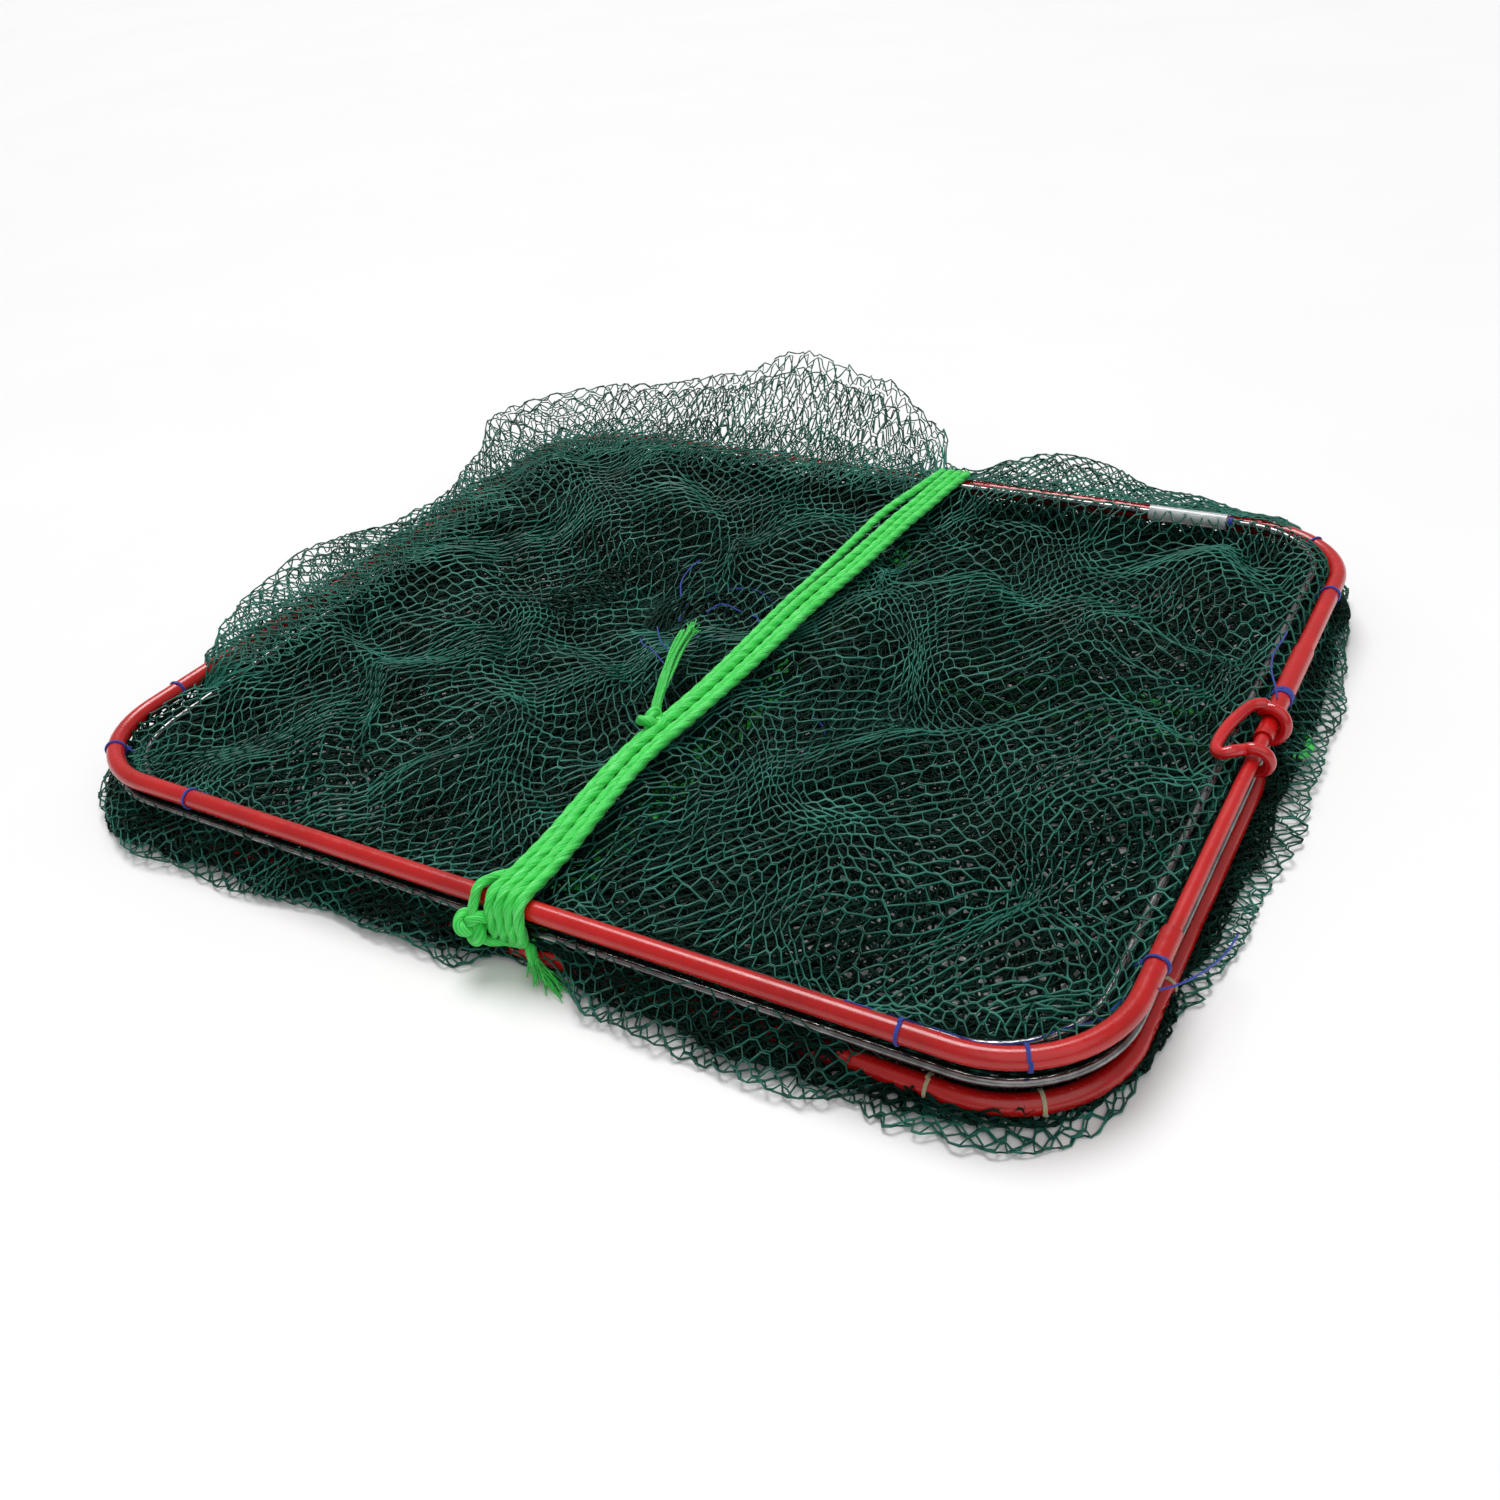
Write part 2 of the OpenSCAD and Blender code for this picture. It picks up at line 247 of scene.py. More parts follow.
def round_ends(path, radius):
    """Adds short closing rings to both ends of an open path; returns path and radii."""
    path = np.asarray(path, float)
    rad = np.broadcast_to(np.asarray(radius, float), (len(path),)).copy()
    a, b = unit(path[0] - path[1]), unit(path[-1] - path[-2])
    head = [path[0] + a * rad[0] * 0.55, path[0] + a * rad[0] * 0.45]
    tail = [path[-1] + b * rad[-1] * 0.45, path[-1] + b * rad[-1] * 0.55]
    path = np.vstack([head, path, tail])
    rad = np.concatenate([[rad[0] * 0.03, rad[0] * 0.7], rad, [rad[-1] * 0.7, rad[-1] * 0.03]])
    return path, rad


def waves(x, y, scale, seed, count=10):
    """Smooth repeatable noise between about -1 and 1 over a plane, features of the given size."""
    r = np.random.default_rng(seed)
    total = np.zeros(np.broadcast(x, y).shape)
    for _ in range(count):
        angle, phase = r.uniform(0, math.pi), r.uniform(0, 2 * math.pi)
        k = 2 * math.pi / (scale * r.uniform(0.7, 1.5))
        total += np.sin(k * (x * math.cos(angle) + y * math.sin(angle)) + phase)
    return total / math.sqrt(count) / 1.2


# ---- rounded rectangle ring
def ring_lengths(hx, hy, r):
    return 2 * (hx - r), math.pi * r / 2, 2 * (hy - r)


def ring_point(s, hx, hy, r, out=0.0):
    """XY on a ring at arc length s from the left end of the front rail, moved outwards."""
    sx, arc, sy = ring_lengths(hx, hy, r)
    s = np.mod(np.asarray(s, float), 2 * (sx + sy) + 4 * arc)
    out = np.broadcast_to(np.asarray(out, float), s.shape)
    xy = np.zeros(s.shape + (2,))
    start = 0.0
    centre = (hx - r, hy - r)
    corners = np.array([(1, -1), (1, 1), (-1, 1), (-1, -1)])
    for side, (wx, wy) in enumerate([(1, 0), (0, 1), (-1, 0), (0, -1)]):
        length = (sx, sy)[side % 2]
        cx, cy = corners[side - 1] * centre
        m = (s >= start) & (s < start + length)
        d = (s - start)[m]
        xy[m, 0] = cx + wx * d + wy * (r + out[m])
        xy[m, 1] = cy + wy * d - wx * (r + out[m])
        start += length
        cx, cy = corners[side] * centre
        m = (s >= start) & (s < start + arc)
        a = math.radians(-90 + 90 * side) + (s - start)[m] / r
        xy[m, 0] = cx + np.cos(a) * (r + out[m])
        xy[m, 1] = cy + np.sin(a) * (r + out[m])
        start += arc
    return xy


FRAME = (HALF_W, HALF_D, CORNER)
RING_SX, RING_ARC, RING_SY = ring_lengths(*FRAME)
RING_TOTAL = 2 * RING_SX + 2 * RING_SY + 4 * RING_ARC


def at(rail, c):
    """Arc length of a place on the frame: its rail and its x or y."""
    if rail == "front":
        return c + RING_SX / 2
    if rail == "right":
        return RING_SX + RING_ARC + c + RING_SY / 2
    if rail == "back":
        return RING_SX + 2 * RING_ARC + RING_SY + RING_SX / 2 - c
    return 2 * RING_SX + 3 * RING_ARC + RING_SY + RING_SY / 2 - c


def keyed(s, keys):
    """Values smoothly interpolated round the ring from (arc length, values...) keys."""
    keys = sorted(keys)
    where = np.array([k[0] for k in keys])
    where = np.concatenate([[where[-1] - RING_TOTAL], where, [where[0] + RING_TOTAL]])
    res = []
    for j in range(1, len(keys[0])):
        val = np.array([k[j] for k in keys], float)
        val = np.concatenate([[val[-1]], val, [val[0]]])
        i = np.clip(np.searchsorted(where, s, side="right") - 1, 0, len(where) - 2)
        t = smoothstep(s, where[i], where[i + 1])
        res.append(val[i] * (1 - t) + val[i + 1] * t)
    return res


def nest_height(x, y):
    """Height of the upper hoop's tilted plane."""
    return NEST_Z + y * math.sin(NEST_TILT_X) - x * math.sin(NEST_TILT_Y)


# ---- netting
def grid_lookup(grid, u, v, closed_u):
    nu, nv = grid.shape[:2]
    fu = np.mod(u, 1.0) * nu if closed_u else np.clip(u, 0, 1) * (nu - 1)
    fv = np.clip(v, 0, 1) * (nv - 1)
    i = np.floor(fu).astype(int)
    i = i % nu if closed_u else np.minimum(i, nu - 2)
    j = np.minimum(np.floor(fv).astype(int), nv - 2)
    a = (fu - np.floor(fu) if closed_u else fu - i)[..., None]
    b = (fv - j)[..., None]
    i2 = (i + 1) % nu
    return ((grid[i, j] * (1 - a) + grid[i2, j] * a) * (1 - b)
            + (grid[i, j + 1] * (1 - a) + grid[i2, j + 1] * a) * b)


# Least height in mm, bar and tilt as shares of a cell, and unevenness in mm
ABOVE_FLOOR, BAR_SHARE, TILT, UNEVEN = 0.1, 0.27, 0.12, 0.25


def net(grid, cell=8.8, strand=0.56, sides=3, closed_u=False, seed=1, jitter=0.5, tall=1.15,
        wide=1.52):
    """Knotless netting mapped on a surface grid in mm: zigzag strands that meet in short bars."""
    r = np.random.default_rng(seed)
    length_u = step_lengths(np.vstack([grid, grid[:1]]) if closed_u else grid).sum(0).mean()
    length_v = step_lengths(grid, 1).sum(1).mean()
    normal = unit(np.cross(along_path(grid, closed_u), np.gradient(grid, axis=1)))
    periods = max(2, int(round(length_u / (cell * wide))))
    rows = max(2, int(round(length_v / (cell * 0.5 * tall))))
    halves = 2 * periods if closed_u else 2 * periods + 1
    step_u, step_v = 1.0 / (2 * periods), 1.0 / (rows + 1)
    ju = r.normal(0, 2 * jitter / (cell * wide), (rows + 2, halves)) * step_u
    jv = r.normal(0, jitter / (cell * 0.5 * tall), (rows + 2, halves)) * step_v
    tilt = r.normal(0, TILT, (rows + 2, halves)) * step_v
    k = np.arange(rows)[:, None]
    h = np.arange(halves)[None, :]
    odd = (h + k) % 2
    j = k + odd
    bar = BAR_SHARE * step_u
    apart = (0.5 - odd) * 2 * strand * 0.75 / (cell * 0.5 * tall) * step_v
    u = np.stack([h * step_u + ju[j, h] - bar, h * step_u + ju[j, h] + bar], -1)
    v = np.stack([(j + 0.5) * step_v + jv[j, h] + apart - tilt[j, h],
                  (j + 0.5) * step_v + jv[j, h] + apart + tilt[j, h]], -1)
    u, v = u.reshape(rows, -1), v.reshape(rows, -1)
    p = grid_lookup(grid, u, v, closed_u)
    n = unit(grid_lookup(normal, u, v, closed_u))
    p = p + n * r.normal(0, UNEVEN, (rows, u.shape[1], 1))
    t = unit(along_path(p, closed_u, 1))
    w = unit(np.cross(n, t))
    n = np.cross(t, w)
    theta = np.arange(sides) * 2 * math.pi / sides + 0.3
    verts = ring_verts(p, strand * r.uniform(0.85, 1.15, (rows, u.shape[1], 1)), theta, n, w)
    verts[..., 2] = np.maximum(verts[..., 2], ABOVE_FLOOR)
    count = u.shape[1]
    first = np.arange(rows)[:, None, None, None] * count * sides
    quads = first + tube_quads(count, sides, closed_u)
    uv = np.zeros((rows * count * sides, 2))
    return verts.reshape(-1, 3), quads.reshape(-1, 4), uv


def net_piece(name, parts, body=None, replaced=None, shade="green_net"):
    """Netting object from one or more layers of strands."""
    verts, quads, _ = joined(parts)
    obj = new_mesh(name, verts, quads)
    obj.data.materials.append(MAT[shade])
    if replaced:
        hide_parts(replaced)
    if body:
        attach(obj, body)
    return obj


def panel_plan(nu, nv):
    """XY of a grid that fills the frame."""
    hx, hy, r = FRAME
    a = np.linspace(-1, 1, nu)[:, None] * np.ones((1, nv))
    b = np.linspace(-1, 1, nv)[None, :] * np.ones((nu, 1))
    m = np.maximum(np.abs(a), np.abs(b))
    safe = np.maximum(m, 1e-9)
    px, py = np.abs(a) / safe * hx, np.abs(b) / safe * hy
    ex, ey = px - (hx - r), py - (hy - r)
    inside = (ex > 0) & (ey > 0)
    # along the ray to (px, py): shrink it until it meets the corner arc
    k = np.ones_like(m)
    cx, cy = hx - r, hy - r
    qa = px**2 + py**2
    qb = -2 * (px * cx + py * cy)
    qc = cx**2 + cy**2 - r**2
    root = (-qb + np.sqrt(np.maximum(qb**2 - 4 * qa * qc, 0))) / np.maximum(2 * qa, 1e-9)
    k[inside] = np.minimum(root[inside], 1)
    shrink = 1 - (1 - k) * m**3
    return a * hx * shrink, b * hy * shrink


STEPS, GRAVITY, BEND = 80, 0.18, 0.02


def relax(p, rest_u, rest_v, pinned, floor, roof):
    """Settles a slack sheet of netting under gravity on a floor, its pinned points held."""
    start = p.copy()
    old = p.copy()
    free = ~pinned
    for _ in range(STEPS):
        vel = (p - old) * 0.9
        old = p.copy()
        p = p + vel
        p[..., 2] -= GRAVITY
        for _ in range(3):
            for q, rest in ((p, rest_u), (p.swapaxes(0, 1), rest_v.T)):
                for parity in (0, 1):
                    a, b = q[parity:-1:2], q[parity + 1::2]
                    n = min(len(a), len(b))
                    a, b = a[:n], b[:n]
                    d = b - a
                    length = np.linalg.norm(d, axis=-1, keepdims=True) + 1e-9
                    move = 0.5 * (1 - rest[parity::2][:n, :, None] / length) * d
                    a += move
                    b -= move
            p[pinned] = start[pinned]
        smooth = p.copy()
        smooth[1:-1, 1:-1] = (p[:-2, 1:-1] + p[2:, 1:-1] + p[1:-1, :-2] + p[1:-1, 2:]) / 4
        p = np.where(free[..., None], p + BEND * (smooth - p), p)
        low = floor(p[..., 0], p[..., 1])
        hit = (p[..., 2] < low) & free
        p[..., 2] = np.where(hit, low, p[..., 2])
        old[hit] = p[hit] - 0.4 * (p[hit] - old[hit])
        high = roof(p[..., 0], p[..., 1])
        p[..., 2] = np.where((p[..., 2] > high) & free, high, p[..., 2])
        p[pinned] = start[pinned]
    return p


# ---- materials
def material(name):
    m = bpy.data.materials.new(name)
    m.use_nodes = True
    return m, m.node_tree, m.node_tree.nodes["Principled BSDF"]


def settings(node, values):
    for name, value in values.items():
        node.inputs[name].default_value = value


def noise(tree, scale, detail=4.0, source="Object", stretch=(1, 1, 1), roughness=0.6):
    coords = tree.nodes.new("ShaderNodeTexCoord")
    mapping = tree.nodes.new("ShaderNodeMapping")
    n = tree.nodes.new("ShaderNodeTexNoise")
    settings(mapping, {"Scale": stretch})
    settings(n, {"Scale": scale, "Detail": detail, "Roughness": roughness})
    tree.links.new(coords.outputs[source], mapping.inputs["Vector"])
    tree.links.new(mapping.outputs["Vector"], n.inputs["Vector"])
    return n


def ramp(tree, shader, name, source, stops):
    """Links a shader input to a noise through a colour ramp."""
    r = tree.nodes.new("ShaderNodeValToRGB")
    while len(r.color_ramp.elements) < len(stops):
        r.color_ramp.elements.new(0.5)
    for e, (pos, col) in zip(r.color_ramp.elements, stops):
        e.position = pos
        e.color = (*col, 1.0)
    tree.links.new(source.outputs["Fac"], r.inputs["Fac"])
    tree.links.new(r.outputs["Color"], shader.inputs[name])


def bump(tree, shader, source, strength, distance):
    b = tree.nodes.new("ShaderNodeBump")
    settings(b, {"Strength": strength, "Distance": distance})
    tree.links.new(source.outputs["Fac"], b.inputs["Height"])
    tree.links.new(b.outputs["Normal"], shader.inputs["Normal"])


def grey(v):
    return (v, v, v)


def plastic(name, dark, mid, light, roughness, scuffs=0.2, coat=0.3):
    """Glossy coloured plastic with handling scuffs and slight unevenness."""
    m, tree, s = material(name)
    ramp(tree, s, "Base Color", noise(tree, 22, 5), [(0.3, dark), (0.52, mid), (0.75, light)])
    marks = noise(tree, 260, 6, stretch=(1, 1, 3))
    ramp(tree, s, "Roughness", marks, [(0.35, grey(roughness)),
                                       (0.72, grey(min(1, roughness + scuffs)))])
    bump(tree, s, marks, 0.10, 0.0003)
    settings(s, {"Coat Weight": coat, "Coat Roughness": 0.12})
    return m


def wire_metal():
    m, tree, s = material("grey_wire")
    ramp(tree, s, "Base Color", noise(tree, 90, 5),
         [(0.3, grey(0.13)), (0.55, grey(0.26)), (0.8, grey(0.42))])
    fine = noise(tree, 900, 4)
    ramp(tree, s, "Roughness", fine, [(0.3, grey(0.14)), (0.8, grey(0.30))])
    bump(tree, s, fine, 0.15, 0.0003)
    settings(s, {"Metallic": 0.95})
    return m


def netting_material(name, dark, mid, light, roughness=0.38, specular=0.32):
    m, tree, s = material(name)
    ramp(tree, s, "Base Color", noise(tree, 35, 6), [(0.3, dark), (0.5, mid), (0.72, light)])
    bump(tree, s, noise(tree, 2600, 3), 0.5, 0.0003)
    settings(s, {"Roughness": roughness, "Specular IOR Level": specular})
    return m


def fibre_material(name, dark, mid, light, streaks=(1.4, 5, 1), roughness=0.36):
    """Twisted plastic fibre: streaks run along the strand, which UVs follow."""
    m, tree, s = material(name)
    n = noise(tree, 4.0, 5, source="UV", stretch=streaks, roughness=0.7)
    ramp(tree, s, "Base Color", n, [(0.30, dark), (0.5, mid), (0.68, light)])
    bump(tree, s, n, 0.8, 0.0010)
    settings(s, {"Roughness": roughness, "Sheen Weight": 0.15, "Sheen Roughness": 0.35})
    return m


def clear_material():
    m, tree, s = material("clear_plastic")
    n = noise(tree, 160, 4)
    ramp(tree, s, "Base Color", n, [(0.3, (0.70, 0.75, 0.76)), (0.7, (0.92, 0.95, 0.95))])
    ramp(tree, s, "Roughness", n, [(0.3, grey(0.10)), (0.8, grey(0.26))])
    settings(s, {"Transmission Weight": 0.45, "IOR": 1.46, "Coat Weight": 0.4})
    return m


MAT = {
    "red_tube": plastic("red_tube", (0.38, 0.004, 0.004), (0.50, 0.005, 0.005),
                        (0.60, 0.010, 0.009), 0.20, 0.16, 0.2),
    "red_rod": plastic("red_rod", (0.40, 0.005, 0.005), (0.52, 0.007, 0.007),
                       (0.60, 0.012, 0.010), 0.30, 0.20, 0.1),
    "bail_red": plastic("bail_red", (0.42, 0.004, 0.007), (0.56, 0.006, 0.009),
                        (0.66, 0.012, 0.014), 0.14, 0.10, 0.5),
    "grey_wire": wire_metal(),
    "clear_plastic": clear_material(),
    "green_net": netting_material("green_net", (0.005, 0.062, 0.043), (0.010, 0.125, 0.088),
                                  (0.034, 0.245, 0.180)),
    # The same netting as green_net in a much darker colour: painted shade for the layers under the
    # top net and deep in the folds
    "net_painted_shade": netting_material("net_painted_shade", (0.0006, 0.010, 0.007), (0.001, 0.021, 0.014),
                                  (0.003, 0.042, 0.029), 0.6, 0.12),
    "green_rope": fibre_material("green_rope", (0.010, 0.36, 0.030), (0.035, 0.80, 0.085),
                                 (0.27, 1.0, 0.33)),
    "blue_twine": fibre_material("blue_twine", (0.010, 0.025, 0.28), (0.018, 0.055, 0.48),
                                 (0.05, 0.16, 0.72), (3, 8, 1), 0.38),
    "cream_twine": fibre_material("cream_twine", (0.50, 0.44, 0.24), (0.66, 0.60, 0.36),
                                  (0.80, 0.76, 0.52), (3, 8, 1), 0.5),
}
MAT["coated_rod"] = MAT["grey_wire"]


def add_piece(name, parts, slot, body, *replaces):
    """Piece made of tubes, with its material, its body and the CAD nodes that it replaces."""
    verts, quads, uv = joined(parts)
    obj = new_mesh(name, verts, quads, uv=uv)
    obj.data.materials.append(MAT[slot])
    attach(obj, body)
    if replaces:
        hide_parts(*replaces)
    return obj


# CAD nodes that stay get the procedural material of their slot
for part in frame["record"]["subparts"]:
    mesh = nodes[part["node"]].data
    mesh.materials.clear()
    mesh.materials.append(MAT[part["material_slot"]])
    mesh.polygons.foreach_set("use_smooth", np.ones(len(mesh.polygons), bool))


# ---- tie rope
def bundle_centre(y):
    """X of the middle of the rope bundle along its run over the top."""
    ys = [-260, -253, -209, -168, -125, -86, -28, 42, 108, 171, 229, 260]
    xs = [19.5, 19.5, 17, 12, 9, 12, 15, 17, 22, 25, 29, 31]
    return np.interp(y, ys, xs)


def run_offset(i, y):
    """Sideways place of each of the four runs from the middle of the bundle."""
    wide = np.array([-8.4, -2.8, 2.8, 8.4])[i]
    tight = np.array([-6.6, -1.6, 3.4, 8.0])[i]
    back = np.array([-19.0, -6.6, -0.8, 5.0])[i]
    end = np.array([-9.5, -3.6, 2.2, 8.0])[i]
    return np.interp(y, [-255, -200, -110, -60, 60, 190, 225, 252],
                     [wide, (wide + tight) / 2, tight, tight, (tight + back) / 2, back,
                      (back + 2 * end) / 3, end])


def run_height(i, y):
    """Height of a run: tight over both rails, sagging between, one strand riding on top."""
    sag = 40.8 - 2.2 * np.cos(np.clip(y / 250, -1, 1) * math.pi / 2) ** 0.5
    lift = [0.3, 2.6, 0.0, 1.2][i] * np.interp(y, [-240, -170, 60, 200], [0, 1, 1, 0])
    over = 2.2 * math.exp(-((y - 240) / 22.0) ** 2)
    return sag + lift + over


FRONT_X = [11, 16.6, 22.2, 27.8, 28.5]
BACK_X = [20, 26, 32, 38]
TURN = [(0, 41.0), (4.0, 39.9), (6.9, 37.0), (8.0, 33.0), (8.2, 22.0), (5.6, 16.0), (2.4, 14.1)]


def tie_route():
    route = []
    for i in range(4):
        fx, bx = FRONT_X[i], BACK_X[i]
        route += [(fx - 2.4 * (z < 20), -HALF_D - o, z) for o, z in reversed(TURN)]
        for y in range(-232, 245, 24):
            route.append((bundle_centre(y) + run_offset(i, y), y, run_height(i, y)))
        route += [(bx, HALF_D + o, z) for o, z in TURN]
        for k in range(21):
            t = k / 20
            route.append((bx + (FRONT_X[i + 1] - 2.4 - bx) * t, 246 - 492 * t,
                          13.8 - 1.6 * math.sin(math.pi * t)))
    route += [(FRONT_X[4] - 0.5, -HALF_D - 4, 13.2), (FRONT_X[4] + 2, -HALF_D - 7, 11.6),
              (FRONT_X[4] + 5, -HALF_D - 9.5, 9.6)]
    return spline(route, 2.4)


def rope_parts(path, radius=ROPE_R):
    path, rad = round_ends(path, radius)
    return tube(path, rad, 36, lobes=3, lobe_depth=0.30, pitch=34.0, ridge=0.045)


def filaments(start, heading, count, length, seed, spread, droop):
    """Frayed end: thin fibres that fan out of a cut rope."""
    r = np.random.default_rng(seed)
    heading = unit(np.array(heading, float))
    parts = []
    for _ in range(count):
        offset = r.normal(0, ROPE_R * 0.42, 3)
        offset -= (offset @ heading) * heading
        way = unit(heading + r.normal(0, spread, 3) * np.array([1, 1, 0.5]))
        size = length * r.uniform(0.55, 1.1)
        bendy = r.normal(0, 0.12, 3) * size
        t = np.linspace(0, 1, 7)[:, None]
        path = (np.array(start, float) + offset * (1 + 0.5 * t) - heading * 2.0
                + (heading * (1 - t * 0.4) + way * t * 0.4) * size * t + bendy * t**2)
        path[:, 2] -= droop * t[:, 0] ** 2
        path[:, 2] = np.maximum(path[:, 2], 0.8)
        path, rad = round_ends(path, 0.45 * r.uniform(0.6, 1.2))
        parts.append(tube(path, rad, 5))
    return parts


route = tie_route()
rope = add_piece("tie_rope_twisted", [rope_parts(route)], "green_rope", "upper_frame", "tie_rope")
fray = add_piece("tie_rope_fray",
                 filaments(route[-1], (0.90, -0.25, -0.50), 30, 22, 11, 0.12, 1.0)
                 + filaments(route[-2], (0.1, -0.6, -0.8), 9, 9, 12, 0.2, 1.0)
                 + filaments(route[-1], (0.6, -0.6, -0.5), 10, 12, 13, 0.16, 1.0),
                 "green_rope", "upper_frame")


# ---- knots
def knot_path(centre, size, turn, tilt, squash=(1, 1, 1)):
    """Overhand knot as a closed curve, scaled to a size and turned."""
    t = np.linspace(0.0, 2 * math.pi, 150)
    x = np.sin(t) + 2 * np.sin(2 * t)
    y = np.cos(t) - 2 * np.cos(2 * t)
    z = -np.sin(3 * t)
    p = np.stack([x / 3, y / 3, z * 0.42], -1) * np.array(squash)
    rot = (Matrix.Rotation(turn, 3, "Z") @ Matrix.Rotation(tilt[0], 3, "X")
           @ Matrix.Rotation(tilt[1], 3, "Y"))
    return p @ np.array(rot).T * size + np.array(centre, float)


def knot_parts(path, radius):
    return tube(path, radius, 36, closed=True, lobes=3, lobe_depth=0.30, pitch=26.0, ridge=0.045)


def before_rail(points):
    """Rope through points given as x, distance in front of the front rail, and z."""
    return rope_parts(spline([(x, -HALF_D - d, z) for x, d, z in points], 1.6), 2.35)


front_knot = knot_path((2.6, -HALF_D - 12.5, 24.5), 7.2, 0.5, (1.25, 0.0))
loop_over = before_rail([(3.2, 12, 30), (2.4, 9.0, 35), (2.2, 5.5, 39.6), (2.6, 0.5, 41.4),
                         (4.4, -6.0, 40.6), (7.5, -13, 38.6), (11, -24, 37.6)])
under_loop = before_rail([(-1, 11.5, 20), (3, 10.5, 15.5), (9, 8.5, 13.6), (16, 5.0, 13.2),
                          (23, 4.0, 13.0)])
add_piece("tie_knot_front_strands", [knot_parts(front_knot, 2.75), loop_over, under_loop],
          "green_rope", "upper_frame", "tie_knot_front")

mid = np.array([3.5, -104.0, 42.0])
middle_knot = knot_path(mid, 7.0, 1.2, (0.5, 0.3), (1.0, 0.9, 0.95))
tail = spline([mid + (0, 5, 1), (-3, -88, 43), (-10, -70, 43.5), (-17, -52, 43), (-24, -32, 42.2),
               (-30, -10, 41.6)], 1.8)
parts = [knot_parts(middle_knot, 2.6)]
draw = np.random.default_rng(77)
opening = np.linspace(0.75, 1.7, len(tail))[:, None]
for k in range(9):
    shift = draw.normal(0, 1.0, 3) * (1.5, 0.5, 0.7)
    sway = 0.7 * np.sin(np.linspace(0, 7, len(tail)) + k)[:, None] * np.array([1, 0.2, 0.5])
    path, rad = round_ends(tail + shift * opening + sway, draw.uniform(0.75, 1.15))
    parts.append(tube(path, rad, 8, lobes=3, lobe_depth=0.3, pitch=12.0))
parts += filaments(tail[-1], tail[-1] - tail[-4], 36, 10, 23, 0.2, 0.0)
add_piece("tie_knot_middle_strands", parts, "green_rope", "upper_frame", "tie_knot_middle")

# Bight of spare rope in the fold
bight = spline([(95, 34, 9), (150, 28, 8), (205, 38, 7), (260, 33, 7), (290, 30, 8), (310, 36, 8),
                (318, 50, 7), (309, 66, 8), (290, 71, 8), (250, 62, 7), (200, 70, 7), (145, 60, 8),
                (95, 66, 9), (74, 60, 9), (72, 40, 9)], 2.6, closed=True)
bight_tube = tube(bight, ROPE_R * 0.92, 14, closed=True, lobes=3, lobe_depth=0.24, pitch=30.0)
add_piece("spare_rope_bight", [bight_tube], "green_rope", "lower_frame", "spare_rope")


# ---- netting pieces
def laid_panel(seed, floor, slack, nu=121, nv=101):
    """A slack panel of netting held round its rim and settled between a floor and the rope."""
    x, y = panel_plan(nu, nv)
    a = np.linspace(-1, 1, nu)[:, None]
    b = np.linspace(-1, 1, nv)[None, :]
    inner = np.minimum(1, 5 * (1 - a**2)) * np.minimum(1, 5 * (1 - b**2))
    gx = x + 13 * waves(x, y, 170, seed) * inner
    gy = y + 13 * waves(x, y, 150, seed + 1) * inner
    rim = np.zeros((nu, nv), bool)
    rim[[0, -1]] = True
    rim[:, [0, -1]] = True
    out, high = top_edge(x, y)
    radial = np.stack([x / HALF_W, y / HALF_D], -1)
    radial = unit(np.sign(radial) * np.abs(radial) ** 6)
    near = (1 - inner)[..., None]
    flat = np.stack([gx, gy], -1) + radial * out[..., None] * near
    base = floor(flat[..., 0], flat[..., 1])
    z = high * (1 - inner) + (base + 6 + 3 * waves(x, y, 60, seed + 2)) * inner
    p = np.concatenate([flat, z[..., None]], -1)
    stretch = slack + 0.02 * waves(x, y, 90, seed + 3)
    return relax(p, step_lengths(flat) * stretch[1:], step_lengths(flat, 1) * stretch[:, 1:], rim,
                 floor, under_rope)


def side_weight(x, y):
    """1 where the panel laps over the rail (left and back), 0 where it hangs inside it."""
    ring_angle = np.arctan2(y / HALF_D, x / HALF_W)
    left_start = math.atan2(-150 / HALF_D, -1.0)
    w = smoothstep(ring_angle, 0.80, 0.98) * (1 - smoothstep(x, 36, 62))
    w = np.maximum(w, smoothstep(-ring_angle, -left_start + 0.02, -left_start + 0.16))
    return w


def top_edge(x, y):
    w = side_weight(x, y)
    return -5.3 + 7.3 * w, 33.5 + 5.4 * w


def ring_gap(x, y):
    """How far inside the frame a place is."""
    qx, qy = np.abs(x) - (HALF_W - CORNER), np.abs(y) - (HALF_D - CORNER)
    outside = np.hypot(np.maximum(qx, 0), np.maximum(qy, 0))
    return CORNER - outside - np.minimum(np.maximum(qx, qy), 0)


# Rises and hollows of the crumpled netting: x, y, reach along x, reach along y, height
HILLS = [(-185, 170, 85, 60, 21), (-120, 222, 70, 40, 12), (-262, 130, 40, 60, 12),
         (-262, 10, 40, 60, 10), (-120, 45, 75, 55, -12), (-60, 120, 55, 45, 9),
         (-190, -110, 110, 40, 8), (-75, -185, 70, 45, 7), (-50, -40, 45, 60, -6),
         (75, 165, 60, 40, -7), (105, 95, 50, 40, 9), (190, 75, 75, 32, 11),
         (235, 165, 50, 40, 7), (130, -10, 60, 40, -8), (215, -60, 50, 45, 9),
         (100, -110, 55, 45, 8), (215, -150, 45, 30, -6), (120, -205, 80, 32, 8),
         (250, -205, 30, 30, 3), (55, 20, 25, 70, 5)]


def hills(x, y):
    total = np.zeros(np.broadcast(x, y).shape)
    for hx, hy, rx, ry, height in HILLS:
        total += height * np.exp(-((x - hx) / rx) ** 2 - ((y - hy) / ry) ** 2)
    return total


